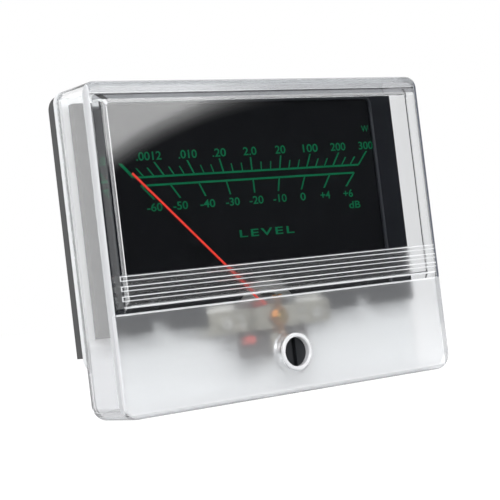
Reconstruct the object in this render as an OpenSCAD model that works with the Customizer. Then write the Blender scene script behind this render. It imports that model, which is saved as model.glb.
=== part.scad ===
// Large clear-cased panel VU meter, in millimetres.
// X runs to the viewer's right, Y from the face into the meter, Z up.
// The origin is the middle of the flat foot of the clear cover.

/* [Cover] */
// Width of the clear cover
cover_w = 134; // [130:1:146]
// Height of the clear cover
cover_h = 101.6; // [100:0.4:112]
// Depth of the clear cover, from its face to its rim
cover_depth = 17.2; // [17:0.1:20]
// Thickness of the cover's front
face_wall = 1.8; // [1.4:0.1:2]
// Thickness of the cover's four sides
side_wall = 2.1; // [1.6:0.1:2.4]
// Radius of the cover's two upper corners
top_corner_r = 4; // [3:0.5:6]
// Radius of the cover's two lower corners
foot_corner_r = 5.5; // [3:0.5:7]
// Rounding between the cover's front and its sides
edge_r = 1.6; // [0.8:0.2:2]

/* [Window] */
// How far the window stands proud of the front
window_rise = 1.8; // [1.2:0.1:2.2]
// How far the window's sides lean out from its face to its foot
window_slant = 1.8; // [1:0.1:2.2]
// Margin beside the window's foot, at both sides
window_margin = 2; // [1.8:0.1:3]
// Margin above the window's foot
window_top_margin = 4.2; // [3.6:0.1:5]
// Thickness of the window's two side walls, at its face
window_side_wall = 2.8; // [1.4:0.1:3]
// Height of the window's lower foot edge
window_foot_z = 31.4; // [30.4:0.2:32.4]
// Bars across the foot of the window
bar_count = 3; // [2:1:4]
// Height of one bar, halfway up its sloped edges
bar_h = 1.3; // [1:0.1:1.6]
// Pitch of the bars
bar_pitch = 3; // [2.4:0.1:3.2]
// How far a bar stands proud of the window
bar_rise = 0.35; // [0.2:0.05:0.5]
// Lower edge of the lowest bar
bar_z = 35.3; // [34.7:0.2:35.9]

/* [Zero adjuster] */
// Height of the zero screw's axis
zero_z = 13.2; // [12.8:0.1:13.6]
// Radius of the slotted head
zero_head_r = 4.65; // [4.2:0.05:4.8]
// Width of the screwdriver slot
zero_slot_w = 1.6; // [1:0.1:2]
// Radius of the bright ring's body, which fills the hole in the cover
bezel_body_r = 5.5; // [5.4:0.05:5.8]
// Radius of the bright ring's front lip
bezel_lip_r = 6; // [5.95:0.05:6.4]
// How far the ring stands proud of the front
bezel_rise = 0.9; // [0.5:0.1:1.2]
// Wall of the moulded collar round the ring, behind the front
collar_wall = 1.7; // [1.2:0.1:2.2]
// Distance of the crank pin from the screw's axis
crank_throw = 2.5; // [2.3:0.05:2.6]
// Radius of the crank pin
crank_pin_r = 0.7; // [0.5:0.05:0.8]

/* [Dial] */
// Height of the pointer's axis
pivot_z = 25; // [24.6:0.1:25.4]
// Depth of the printed dial face behind the cover's front
dial_depth = 12.5; // [12.3:0.1:12.8]
// Thickness of the dial plate
dial_t = 0.8; // [0.5:0.1:1]
// Margin between the dial plate and each side of the cover
dial_margin = 13.7; // [12.3:0.2:14.7]
// Distance of the dial plate's upper edge below the cover's top
dial_top_gap = 5.8; // [5.6:0.2:9]
// Radius of the dial plate's two upper corners
dial_corner_r = 2; // [1:0.5:4]
// Height of the dial plate's lower edge
dial_foot_z = 31.2; // [30.6:0.2:31.4]
// How far the dial face lies back in its carrier
dial_recess = 0.6; // [0.3:0.1:0.8]
// Thickness of the black dial carrier
carrier_t = 2.5; // [2.3:0.1:2.8]
// Height of the teeth along the carrier's lower edge
tooth_foot_z = 25; // [24.6:0.2:26]
// Radius of the round opening that the dial leaves for the movement
eye_r = 12.9; // [12.85:0.05:13.4]

/* [Pointer] */
// Length of the pointer from its axis to its tip
pointer_len = 69.4; // [60:0.2:71]
// Width of the pointer
pointer_w = 0.7; // [0.5:0.1:0.9]
// Thickness of the pointer
pointer_t = 0.3; // [0.2:0.1:0.6]
// Depth of the pointer's front behind the cover's front
pointer_depth = 7.8; // [7.75:0.05:7.9]
// Angle of the pointer at rest, left of upright
rest_angle = 45.1; // [43:0.1:46]
// Swing of the pointer from rest to the right-hand stop
swing_up = 92.2; // [88:0.1:93]
// Swing of the pointer from rest to the left-hand stop
swing_down = 2; // [1:0.5:3]

/* [Movement] */
// Radius of the iron core inside the coil
core_r = 5.9; // [5.5:0.1:6]
// Length of the iron core
core_len = 10; // [9:0.2:10.2]
// Outer radius of the steel yoke ring
yoke_r = 12.6; // [12:0.1:12.6]
// Bore radius of the steel yoke ring
yoke_bore_r = 8.8; // [8.7:0.1:9.2]
// Breadth of the moving coil, measured round the core
coil_breadth = 4; // [3:0.2:4.2]
// Thickness of the coil's wire pack
winding_t = 1; // [0.6:0.1:1.1]
// Thickness of the coil's frame
former_t = 0.5; // [0.3:0.05:0.6]
// Width of one dark magnet block below the bridge
block_w = 12; // [10:0.2:12.4]
// Height of the magnet blocks
block_h = 8.2; // [7:0.2:8.4]
// Gap between the two magnet blocks
block_gap = 3.2; // [2.6:0.1:4]
// Width of the front bridge over both arms
bridge_w = 49.2; // [47:0.2:49.4]
// Height of the front bridge
bridge_h = 7.2; // [6.4:0.2:7.4]
// Turns of each hairspring
spring_turns = 4; // [3:1:5]
// Outer radius of each hairspring
spring_r = 4; // [3.6:0.1:4.1]
// Width of the hairspring's strip
spring_w = 0.6; // [0.4:0.1:0.6]

/* [Rear] */
// Thickness of the clear back plate behind the cover's rim
back_t = 1.9; // [1.5:0.1:2.5]
// Height of the back plate's lower edge
back_foot_z = 14.2; // [13:0.2:16]
// Depth of the rear housing's rim
rim_depth = 3.4; // [3:0.1:4.5]
// Height of the rear housing's lower edge
rim_foot_z = 19.6; // [18:0.2:22]
// Distance of the rear housing's upper edge below the cover's top
rim_top_gap = 0.6; // [0.2:0.2:3.6]
// Wall of the rear housing
shell_wall = 1.4; // [1.2:0.1:1.8]
// Depth of the round can behind the back plate
can_depth = 21; // [20.5:0.5:26]
// Distance between the mounting studs, sideways
stud_pitch_x = 108; // [100:1:112]
// Distance between the mounting studs, upwards
stud_pitch_z = 50; // [44:1:52]
// Radius of a mounting stud
stud_r = 1.5; // [1.25:0.25:2]
// Length of a mounting stud behind the panel seat
stud_len = 12; // [8:1:16]
// Distance between the two terminals
terminal_pitch = 15; // [14:0.5:16]
// Radius of a terminal stud
terminal_r = 1.5; // [1.25:0.25:1.75]

/* [Hidden] */

$fn = 64;
fine = 32;                    // segments of the faceted, blended shapes
run_gap = 0.06;               // radial running clearance of a shaft in its hole
slip_gap = 0.2;               // gap between a piece and the pocket that it sits in
cut = 0.5;                    // how far a cut runs past the face that it opens

// Depths behind the cover's front, and the dial plate
face_y = -cover_depth / 2;
dial_w = cover_w - 2 * dial_margin;
dial_top_z = cover_h - dial_top_gap;
carrier_d = dial_depth - dial_recess;
carrier_back_d = carrier_d + carrier_t;
rim_d = cover_depth;
plate_back_d = rim_d + back_t;
seat_d = plate_back_d + rim_depth;
can_back_d = plate_back_d + can_depth;
can_floor_d = can_back_d - shell_wall;

carrier_margin = side_wall + 1.5;
carrier_drop = 1.3;           // its upper edge lies this much lower than its margin alone gives

// Notches along the carrier's teeth, its gap for the bridge, and the dial's screws
carrier_gap_w = bridge_w + 0.3;
inner_notch_x = cover_w * 0.31;
inner_notch_w = 7.8;
inner_notch_h = 3.5;
outer_notch_x = cover_w / 2 - 11.15;
outer_notch_w = 3.2;
outer_notch_h = 2.25;
dial_screw_x = dial_w / 2 - 9.3;
dial_screw_z = dial_foot_z + 2.8;
dial_screw_r = 1.6;
light_margin = 7;
light_foot_z = dial_foot_z + 10.8;
light_head_gap = 4;
diffuser_t = 1.2;
diffuser_inset = 2;
diffuser_foot_z = dial_foot_z + 8.3;

// Window
window_face_z = window_foot_z + window_slant;
window_top_z = cover_h - window_top_margin;
window_foot_x = cover_w / 2 - window_margin;
window_face_x = window_foot_x - window_slant;
recess_x = window_face_x - window_side_wall;
recess_lean = 0.85;           // the recess's side walls lean out by this much
recess_inset = face_wall * (sqrt(2) - 1);

// Zero adjuster, front to back
head_front_d = 1;
head_back_d = 3.2;
shoulder_d = head_back_d + 0.1;
shoulder_back_d = shoulder_d + 1;
collar_back_d = shoulder_d;
shank_r = 2;
crank_disc_d = shoulder_back_d + 0.2;
crank_back_d = crank_disc_d + 1;
crank_disc_r = crank_throw + crank_pin_r + 0.3;
lever_d = crank_back_d + 1.3;
lever_t = 0.8;
lever_back_d = lever_d + lever_t;

// Front bridge, hairspring and hub, front to back
boss_r = 1.9;
jewel_r = 1.2;
nut_r = 2.3;
nut_t = 0.9;
bridge_mid_d = lever_back_d + 0.6;
bridge_t = 1.2;
bridge_mid_back_d = bridge_mid_d + bridge_t;
spring_d = bridge_mid_back_d + 0.6;
spring_back_d = spring_d + spring_w;
hub_d = spring_back_d + 3.4;
hub_t = 0.6;
hub_back_d = hub_d + hub_t;
bridge_arm_back_d = carrier_d + 0.7;
bridge_arm_d = bridge_arm_back_d - bridge_t;
bridge_z = pivot_z - bridge_h / 2;
riser_x = 7;
bridge_screw_x = bridge_w / 2 - 6.1;
bridge_screw_z = pivot_z - 0.4;
bridge_screw_head_r = 2;
bridge_rivet_x = bridge_w / 4 + 0.1;
bridge_rivet_r = 1.1;
post_r = 2.4;
ear_w = bridge_w + 1.8;
ear_rise = 12;

// Moving coil and magnet, front to back
coil_front_d = hub_back_d + 0.6;
end_gap = 0.5;
core_d = coil_front_d + former_t + end_gap;
core_back_d = core_d + core_len;
coil_back_d = core_back_d + end_gap + former_t;
coil_gap = 0.6;
former_in_x = core_r + coil_gap;
former_out_x = former_in_x + former_t;
winding_out_x = former_out_x + winding_t;
yoke_d = carrier_d + 0.7;
yoke_back_d = core_back_d - 0.2;
base_t = 1.6;
base_back_d = carrier_back_d + base_t;
base_r = 14;
block_t = 1.6;
block_d = yoke_d - block_t;
block_top_z = bridge_z - 0.3;
block_x = (block_w + block_gap) / 2;

// Rear bridge, front to back
rear_spring_d = coil_back_d + 0.8;
rear_spring_back_d = rear_spring_d + spring_w;
rear_bridge_d = rear_spring_back_d + 1.2;
rear_bridge_back_d = rear_bridge_d + bridge_t;
leg_r = 1.6;
leg_x = (yoke_r + yoke_bore_r) / 2;
rear_bridge_h = 6.4;

// Pivots
pivot_r = 0.4;
cup_r = pivot_r + run_gap;
front_cup_d = spring_d - 0.9;
rear_cup_d = rear_bridge_d - 0.9;
cup_depth = 0.7;
collet_r = 1.2;
anchor_r = spring_r + 0.6;
anchor_pin_r = 0.35;

// Rear housing
can_bore_r = yoke_r + 0.6;
can_r = can_bore_r + shell_wall;
rim_floor_d = seat_d - shell_wall;
rim_corner_r = 5;
rim_top_z = cover_h - rim_top_gap;
rear_mid_z = cover_h - 39.6;
boss_x = cover_w / 2 - 9;
boss_low_z = rear_mid_z - 13;
boss_high_z = rear_mid_z + 13;
boss_out_r = 3;
screw_r = 1.2;
small_screw_r = 0.7;
diffuser_screw_x = dial_w / 2 - 4.5;
diffuser_screw_z = [light_foot_z + 4, dial_top_z - 6.9];
movement_screw_x = 21;
movement_screw_z = pivot_z + 8;
movement_screw_d = carrier_back_d - 0.8;
screw_head_r = 2.4;
screw_head_t = 1.2;
plug_t = 1;
plug_d = rim_d - plug_t;
diffuser_head_d = min(carrier_back_d + diffuser_t + 0.4, plug_d - 0.2);
movement_head_d = min(base_back_d + 0.9, plug_d + 0.7);
stud_mid_z = rear_mid_z;
stud_root_r = stud_r + 0.4;
stud_head_r = 3;
stud_head_t = 1;
board_back_d = can_floor_d - 2.6;
board_t = 1.2;
board_d = board_back_d - board_t;
board_post_r = 1.5;
board_post_at = 10.8;
lamp_board_t = 1;
lamp_board_d = rim_floor_d - lamp_board_t;
lamp_t = 0.8;
lamp_count = 5;
lamp_pitch = 20;
lamp_w = 3;
lamp_h = 2.8;
lamp_board_h = 12;
lamp_z = rear_mid_z;
lamp_pin_len = 5;
lamp_pin_r = 0.6;
lamp_pin_x = 30;

// A flat outline, drawn in X and Z, made into a slab from one depth to another
module slab(from_d, to_d)
    translate([0, face_y + to_d, 0])
        rotate([90, 0, 0])
            linear_extrude(to_d - from_d)
                children();

// A round rod along Y
module rod(r, from_d, to_d, x = 0, z = 0)
    translate([x, face_y + from_d, z])
        rotate([-90, 0, 0])
            cylinder(r = r, h = to_d - from_d);

// A box from depth to depth, centred on x, from one height to another
module bar(w, from_d, to_d, low_z, high_z, x = 0)
    translate([x - w / 2, face_y + from_d, low_z])
        cube([w, to_d - from_d, high_z - low_z]);

// Turns its children about the pointer's axis, to the right
module turned(angle)
    translate([0, 0, pivot_z])
        rotate([0, angle, 0])
            translate([0, 0, -pivot_z])
                children();

// Repeats its children at plus and minus x
module both(x)
    for (side = [-1, 1])
        translate([side * x, 0, 0])
            children();

// The outline of the cover and of all that follows it, drawn in by inset
module cover_outline(inset = 0, foot = 0) {
    w = cover_w / 2 - inset;
    low = foot + inset;
    high = cover_h - inset;
    top_r = max(top_corner_r - inset, 0.5);
    foot_r = max(foot_corner_r - inset, 0.5);
    for (side = [-1, 1]) {
        translate([side * (w - top_r), high - top_r]) circle(top_r, $fn = fine);
        translate([side * (w - foot_r), low + foot_r]) circle(foot_r, $fn = fine);
    }
    translate([-w, low + foot_r]) square([2 * w, high - top_r - low - foot_r]);
    translate([-w + foot_r, low]) square([2 * (w - foot_r), high - top_r - low]);
    translate([-w + top_r, low + foot_r]) square([2 * (w - top_r), high - low - foot_r]);
}

// One thin layer of the window's block or of the recess behind it
module window_layer(w, inset, depth, corner_r = 1.2)
    slab(depth, depth + 0.02)
        for (side = [-1, 1], z = [window_foot_z + inset + corner_r, window_top_z - inset - corner_r])
            translate([side * (w - corner_r), z]) circle(corner_r, $fn = fine);

module window_block(inset, front_d, root_d)
    hull() {
        window_layer(window_face_x - inset, inset + window_slant, front_d);
        window_layer(window_foot_x - inset, inset, front_d + window_rise);
        window_layer(window_foot_x - inset, inset, root_d);
    }

// The recess has sloped walls above and below, and steep ones at its sides
module window_recess()
    hull() {
        window_layer(recess_x, recess_inset + window_slant, face_wall - window_rise);
        window_layer(recess_x + recess_lean, recess_inset, face_wall);
        window_layer(recess_x + recess_lean, recess_inset, face_wall + 0.4);
    }

// A bar with sloped edges, right across the window
module window_bar(mid_z) {
    root = (bar_h + bar_rise) / 2;
    tip = (bar_h - bar_rise) / 2;
    deep = window_rise + face_wall / 2;
    translate([-cover_w / 2, face_y - window_rise, mid_z])
        rotate([90, 0, 90])
            linear_extrude(cover_w)
                polygon([
                    [-bar_rise - 0.1, 0.1 - tip], [0, -root], [deep, -root],
                    [deep, root], [0, root], [-bar_rise - 0.1, tip - 0.1]
                ]);
}

module front_cover()
    color([0.86, 0.9, 0.92, 0.35])
    difference() {
        union() {
            hull() {
                for (a = [0 : 15 : 90])
                    slab(edge_r * (1 - sin(a)), edge_r * (1 - sin(a)) + 0.02)
                        cover_outline(edge_r * (1 - cos(a)));
                slab(cover_depth - 0.02, cover_depth) cover_outline();
            }
            window_block(0, -window_rise, face_wall / 2);
            intersection() {
                window_block(-bar_rise * (sqrt(2) - 1), -window_rise - bar_rise, face_wall / 2);
                for (i = [0 : bar_count - 1])
                    window_bar(bar_z + i * bar_pitch + bar_h / 2);
            }
            rod(bezel_body_r + collar_wall, face_wall - 0.1, collar_back_d, 0, zero_z);
        }
        difference() {
            slab(face_wall, cover_depth + cut) cover_outline(side_wall);
            rod(bezel_body_r + collar_wall, face_wall - cut, collar_back_d, 0, zero_z);
        }
        window_recess();
        rod(bezel_body_r + 0.02, -cut, collar_back_d + cut, 0, zero_z);
    }

// The bright ring is a turned bush, pushed into the collar from the front
module zero_bezel()
    color("silver")
    translate([0, face_y, zero_z])
        rotate([-90, 0, 0])
            rotate_extrude()
                polygon([
                    [zero_head_r + 0.1, -bezel_rise + 0.3], [zero_head_r + 0.4, -bezel_rise],
                    [bezel_lip_r - 0.35, -bezel_rise], [bezel_lip_r, -bezel_rise + 0.35],
                    [bezel_lip_r, 0], [bezel_body_r, 0], [bezel_body_r, shoulder_back_d],
                    [shank_r + run_gap, shoulder_back_d], [shank_r + run_gap, shoulder_d],
                    [zero_head_r + 0.1, shoulder_d]
                ]);

module zero_screw()
    color([0.1, 0.1, 0.11])
    difference() {
        union() {
            rod(zero_head_r, head_front_d, head_back_d, 0, zero_z);
            rod(shank_r, head_back_d, crank_back_d, 0, zero_z);
        }
        bar(zero_slot_w, head_front_d - cut, head_front_d + 1.4,
            zero_z - zero_head_r - cut, zero_z + zero_head_r + cut);
    }

module zero_crank()
    color("darkgoldenrod")
    difference() {
        union() {
            rod(crank_disc_r, crank_disc_d, crank_back_d, 0, zero_z);
            rod(crank_pin_r, crank_back_d - 0.5, lever_back_d + 0.4, 0, zero_z + crank_throw);
        }
        rod(shank_r, crank_disc_d - cut, crank_back_d, 0, zero_z);
    }

// The black frame behind the window: its teeth, the dial's pocket and the light opening
module dial_carrier()
    color([0.07, 0.07, 0.08])
    difference() {
        union() {
            slab(carrier_d, carrier_back_d)
                intersection() {
                    translate([0, -carrier_drop]) cover_outline(carrier_margin);
                    translate([-cover_w / 2, tooth_foot_z]) square([cover_w, cover_h]);
                }
            both(boss_x)
                for (z = [boss_low_z, boss_high_z])
                    rod(boss_out_r, carrier_back_d - 0.2, plug_d, 0, z);
        }
        slab(carrier_d - cut, dial_depth + dial_t) dial_outline(slip_gap);
        slab(carrier_d - cut, carrier_back_d + cut) {
            light_opening();
            translate([0, pivot_z]) circle(eye_r);
            tooth_notch(0, carrier_gap_w, dial_foot_z - tooth_foot_z);
            for (side = [-1, 1]) {
                tooth_notch(side * inner_notch_x, inner_notch_w, inner_notch_h);
                tooth_notch(side * outer_notch_x, outer_notch_w, outer_notch_h);
            }
        }
        both(boss_x)
            for (z = [boss_low_z, boss_high_z])
                rod(screw_r, carrier_back_d - 1, plug_d + cut, 0, z);
        both(movement_screw_x)
            rod(screw_r, movement_screw_d - 0.1, carrier_back_d + cut, 0, movement_screw_z);
        both(diffuser_screw_x)
            for (z = diffuser_screw_z)
                rod(small_screw_r, carrier_back_d - 1, carrier_back_d + cut, 0, z);
    }

module tooth_notch(x, w, h)
    translate([x - w / 2, tooth_foot_z - cut]) square([w, h + cut]);

module dial_outline(gap = 0) {
    w = dial_w / 2;
    round_z = dial_top_z - dial_corner_r;
    low = dial_foot_z - gap;
    translate([-w - gap, low]) square([2 * (w + gap), round_z - low]);
    translate([-w + dial_corner_r, low]) square([2 * (w - dial_corner_r), dial_top_z + gap - low]);
    for (side = [-1, 1])
        translate([side * (w - dial_corner_r), round_z]) circle(dial_corner_r + gap);
}

module light_opening()
    translate([-dial_w / 2 + light_margin, light_foot_z])
        square([dial_w - 2 * light_margin, dial_top_z - light_foot_z - light_head_gap]);

module dial_plate()
    color([0.05, 0.06, 0.07])
    slab(dial_depth, dial_depth + dial_t)
        difference() {
            dial_outline();
            translate([0, pivot_z]) circle(eye_r);
        }

module dial_screws()
    color([0.12, 0.12, 0.12])
    both(dial_screw_x)
        difference() {
            rod(dial_screw_r, dial_depth - 0.7, dial_depth, 0, dial_screw_z);
            bar(0.4, dial_depth - 1, dial_depth - 0.4,
                dial_screw_z - dial_screw_r - cut, dial_screw_z + dial_screw_r + cut);
        }

stop_pin_r = 0.5;
stop_at_r = 15;
stop_step = asin((stop_pin_r + pointer_w / 2 + 0.08) / stop_at_r);

module pointer_stops()
    color([0.15, 0.15, 0.15])
    for (a = [-rest_angle - swing_down - stop_step, -rest_angle + swing_up + stop_step])
        rod(stop_pin_r, pointer_depth - 0.3, dial_depth,
            stop_at_r * sin(a), pivot_z + stop_at_r * cos(a));

module light_diffuser()
    color([0.94, 0.95, 0.93])
    difference() {
        slab(carrier_back_d, carrier_back_d + diffuser_t)
            translate([-dial_w / 2 + diffuser_inset, diffuser_foot_z])
                square([dial_w - 2 * diffuser_inset, dial_top_z - diffuser_foot_z]);
        both(diffuser_screw_x)
            for (z = diffuser_screw_z)
                rod(small_screw_r, carrier_back_d - cut, carrier_back_d + diffuser_t + cut, 0, z);
    }

module diffuser_screws()
    color("silver")
    both(diffuser_screw_x)
        for (z = diffuser_screw_z) {
            rod(1.3, carrier_back_d + diffuser_t, diffuser_head_d, 0, z);
            rod(small_screw_r, carrier_back_d - 0.9, carrier_back_d + diffuser_t + 0.1, 0, z);
        }

// The pointer steps forward over the bridge, then runs straight to its tip
module pointer()
    color([0.86, 0.07, 0.06])
    turned(-rest_angle) {
        bar(pointer_w, pointer_depth, pointer_depth + pointer_t, pivot_z + 6.2, pivot_z + pointer_len);
        bar(pointer_w, pointer_depth, hub_back_d, pivot_z + 6.2, pivot_z + 6.8);
        bar(pointer_w + 0.3, hub_d, hub_back_d, pivot_z + 2, pivot_z + 6.8);
    }

module pointer_hub()
    color([0.75, 0.75, 0.76])
    difference() {
        rod(2, hub_d, hub_back_d, 0, pivot_z);
        rod(pivot_r, hub_d - cut, hub_back_d + cut, 0, pivot_z);
    }

module counterweights()
    color("darkgoldenrod")
    turned(-rest_angle)
        for (side = [90, 180, 270])
            turned(side) {
                bar(0.7, hub_d, hub_back_d, pivot_z + 2, pivot_z + 4.4);
                rod(side == 180 ? 1.7 : 1.2, hub_d, hub_back_d, 0, pivot_z + 5);
            }

// The coil's frame is a rectangle whose long sides lie in the air gap
module coil_band(half_x, from_d, to_d)
    bar(2 * half_x, from_d, to_d, pivot_z - coil_breadth / 2, pivot_z + coil_breadth / 2);

module coil_former()
    color("lightgray")
    turned(-rest_angle)
        difference() {
            coil_band(former_out_x, coil_front_d, coil_back_d);
            bar(2 * former_in_x, coil_front_d + former_t, coil_back_d - former_t,
                pivot_z - coil_breadth, pivot_z + coil_breadth);
            rod(pivot_r, coil_front_d - cut, coil_front_d + former_t + cut, 0, pivot_z);
            rod(pivot_r, coil_back_d - former_t - cut, coil_back_d + cut, 0, pivot_z);
        }

module coil_winding()
    color([0.72, 0.38, 0.2])
    turned(-rest_angle)
        both(former_out_x + winding_t / 2)
            bar(winding_t, coil_front_d + 0.6, coil_back_d - 0.6,
                pivot_z - coil_breadth / 2, pivot_z + coil_breadth / 2);

module pivots()
    color("silver") {
        rod(pivot_r, front_cup_d + 0.1, coil_front_d + former_t, 0, pivot_z);
        rod(pivot_r, coil_back_d - former_t, rear_cup_d + cup_depth - 0.1, 0, pivot_z);
    }

module collet(from_d, to_d)
    difference() {
        rod(collet_r, from_d, to_d, 0, pivot_z);
        rod(pivot_r, from_d - cut, to_d + cut, 0, pivot_z);
    }

module spring_collets()
    color("goldenrod") {
        collet(spring_d, hub_d);
        collet(coil_back_d, rear_spring_back_d);
    }

// A flat spiral strip from its collet out to its anchor pin
function spiral(a, r) = [r * cos(a), r * sin(a)];
module hairspring_strip(depth, end_angle) {
    steps = 20 * spring_turns;
    first_r = collet_r + 0.3;
    growth = (spring_r - first_r) / steps;
    half = 0.09;
    angles = [for (i = [0 : steps]) end_angle + (i - steps) * 360 / 20];
    outer = [for (i = [0 : steps]) spiral(angles[i], first_r + growth * i + 2 * half)];
    inner = [for (i = [steps : -1 : 0]) spiral(angles[i], first_r + growth * i)];
    slab(depth, depth + spring_w)
        translate([0, pivot_z])
            polygon(concat(outer, inner));
    end = spiral(end_angle, spring_r + half);
    turned(90 - end_angle)
        bar(2 * half, depth, depth + spring_w, pivot_z + norm(end) - half, pivot_z + anchor_r - anchor_pin_r);
}

module front_hairspring()
    color([0.76, 0.45, 0.2])
    hairspring_strip(spring_d, -90);

module rear_hairspring()
    color([0.76, 0.45, 0.2])
    hairspring_strip(rear_spring_d, 90);

// Copper disc, forked arm down to the crank pin, split tail above, and the spring's anchor pin
lever_arm_w = 2.2;
fork_w = 4.4;
fork_slot = 2 * (crank_pin_r + 0.25);
module zero_lever()
    color([0.78, 0.47, 0.22]) {
        slab(lever_d, lever_back_d)
            difference() {
                union() {
                    translate([0, pivot_z]) circle(3.15);
                    translate([-lever_arm_w / 2, zero_z + crank_throw + 2])
                        square([lever_arm_w, pivot_z - zero_z - crank_throw - 2]);
                    translate([-fork_w / 2, zero_z + crank_throw - 1.6]) square([fork_w, 4]);
                    translate([-0.7, pivot_z]) square([1.4, 6.5]);
                    translate([-1.6, pivot_z + 6]) square([3.2, 1.8]);
                }
                translate([0, pivot_z]) circle(boss_r + run_gap);
                translate([-fork_slot / 2, zero_z + crank_throw - 2]) square([fork_slot, 3.2]);
                translate([-0.45, pivot_z + 6.8]) square([0.9, 1.5]);
            }
        rod(anchor_pin_r, lever_back_d - 0.4, spring_back_d + 0.1, 0, pivot_z - anchor_r);
    }

// The middle of the bridge stands forward of its two arms
module front_bridge()
    color([0.72, 0.68, 0.58])
    difference() {
        union() {
            bar(2 * riser_x + 2 * bridge_t, bridge_mid_d, bridge_mid_back_d, bridge_z, bridge_z + bridge_h);
            both(riser_x + bridge_t / 2)
                bar(bridge_t, bridge_mid_d, bridge_arm_back_d, bridge_z, bridge_z + bridge_h);
            both((riser_x + bridge_w / 2) / 2)
                bar(bridge_w / 2 - riser_x, bridge_arm_d, bridge_arm_back_d, bridge_z, bridge_z + bridge_h);
            rod(boss_r, lever_d - 0.1, bridge_mid_d + cut, 0, pivot_z);
        }
        rod(jewel_r, lever_d - cut, bridge_mid_back_d + cut, 0, pivot_z);
        both(bridge_screw_x)
            rod(screw_r, bridge_arm_d - cut, bridge_arm_back_d + cut, 0, bridge_screw_z);
    }

module bridge_screws()
    color([0.85, 0.85, 0.84])
    both(bridge_screw_x)
        difference() {
            union() {
                rod(bridge_screw_head_r, bridge_arm_d - 1.1, bridge_arm_d, 0, bridge_screw_z);
                rod(screw_r, bridge_arm_d - 0.2, base_back_d - 0.3, 0, bridge_screw_z);
            }
            bar(0.6, bridge_arm_d - 1.5, bridge_arm_d - 0.6, pivot_z - 4, pivot_z + 4);
        }

module bridge_rivets()
    color([0.85, 0.85, 0.84])
    both(bridge_rivet_x)
        for (z = [-1.6, 1.2])
            rod(bridge_rivet_r, bridge_arm_d - 0.5, bridge_arm_d, 0, pivot_z + z);

module front_jewel_screw()
    color("goldenrod")
    difference() {
        rod(jewel_r, lever_d - 0.1 - nut_t - 0.4, front_cup_d + cup_depth, 0, pivot_z);
        rod(cup_r, front_cup_d, front_cup_d + cup_depth + cut, 0, pivot_z);
        bar(0.4, lever_d - 3, lever_d - 0.8 - nut_t, pivot_z - 3, pivot_z + 3);
    }

module rear_jewel_screw()
    color("goldenrod")
    difference() {
        rod(jewel_r, rear_cup_d, rear_bridge_back_d + nut_t + 0.4, 0, pivot_z);
        rod(cup_r, rear_cup_d - cut, rear_cup_d + cup_depth, 0, pivot_z);
        bar(0.4, rear_bridge_back_d + nut_t, rear_bridge_back_d + nut_t + 1, pivot_z - 3, pivot_z + 3);
    }

module jewel_nut(from_d)
    difference() {
        slab(from_d, from_d + nut_t)
            translate([0, pivot_z]) circle(nut_r, $fn = 6);
        rod(jewel_r, from_d - cut, from_d + nut_t + cut, 0, pivot_z);
    }

module jewel_nuts()
    color("silver") {
        jewel_nut(lever_d - 0.1 - nut_t);
        jewel_nut(rear_bridge_back_d);
    }

// Pale moulded base: a ring round the yoke, ears behind the carrier, and the bridge's two posts
module movement_base()
    color([0.9, 0.9, 0.86])
    difference() {
        union() {
            rod(base_r, carrier_back_d, base_back_d, 0, pivot_z);
            bar(ear_w, carrier_back_d, base_back_d, bridge_z, pivot_z + ear_rise);
            both(bridge_screw_x)
                rod(post_r, bridge_arm_back_d, carrier_back_d + 0.2, 0, bridge_screw_z);
        }
        rod(yoke_r, carrier_back_d - cut, base_back_d + cut, 0, pivot_z);
        both(bridge_screw_x)
            rod(screw_r, bridge_arm_back_d - cut, base_back_d + cut, 0, bridge_screw_z);
        both(movement_screw_x)
            rod(screw_r, carrier_back_d - cut, base_back_d + cut, 0, movement_screw_z);
    }

module movement_screws()
    color("silver")
    both(movement_screw_x) {
        rod(screw_r, movement_screw_d, base_back_d + 0.1, 0, movement_screw_z);
        rod(2, base_back_d, movement_head_d, 0, movement_screw_z);
    }

module yoke_ring()
    color([0.66, 0.67, 0.67])
    difference() {
        rod(yoke_r, yoke_d, yoke_back_d, 0, pivot_z);
        rod(yoke_bore_r, yoke_d - cut, yoke_back_d + cut, 0, pivot_z);
    }

// Two dark blocks on the yoke's face, one at each side of a pale spacer
module magnet_blocks()
    color([0.16, 0.15, 0.16])
    both(block_x)
        bar(block_w, block_d, yoke_d, block_top_z - block_h, block_top_z);

module magnet_spacer()
    color([0.8, 0.77, 0.66])
    bar(block_gap, block_d, yoke_d, block_top_z - block_h + 1, block_top_z - 0.4);

module iron_core()
    color([0.23, 0.23, 0.25])
    rod(core_r, core_d, core_back_d, 0, pivot_z);

// Two brass blocks hold the core inside the yoke, clear of the coil's swing
clamp_w = 2.6;
module core_clamps()
    color("goldenrod")
    difference() {
        bar(clamp_w, core_d + 3, core_back_d - 3, pivot_z - yoke_bore_r, pivot_z + yoke_bore_r);
        rod(core_r, core_d, core_back_d, 0, pivot_z);
        difference() {
            rod(yoke_r, core_d, core_back_d, 0, pivot_z);
            rod(yoke_bore_r, core_d - cut, core_back_d + cut, 0, pivot_z);
        }
    }

module rear_bridge()
    color([0.72, 0.68, 0.58]) {
        difference() {
            union() {
                bar(2 * leg_x, rear_bridge_d, rear_bridge_back_d,
                    pivot_z - rear_bridge_h / 2, pivot_z + rear_bridge_h / 2);
                both(leg_x)
                    rod(leg_r, yoke_back_d, rear_bridge_back_d, 0, pivot_z);
                rod(anchor_pin_r + 0.5, rear_bridge_d, rear_bridge_back_d, 0, pivot_z + anchor_r - 1);
            }
            rod(jewel_r, rear_bridge_d - cut, rear_bridge_back_d + cut, 0, pivot_z);
        }
        bar(2, rear_bridge_d, rear_bridge_back_d, pivot_z + 3, pivot_z + anchor_r + 0.6);
        rod(anchor_pin_r, rear_spring_d - 0.1, rear_bridge_d + 0.3, 0, pivot_z + anchor_r);
    }

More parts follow.
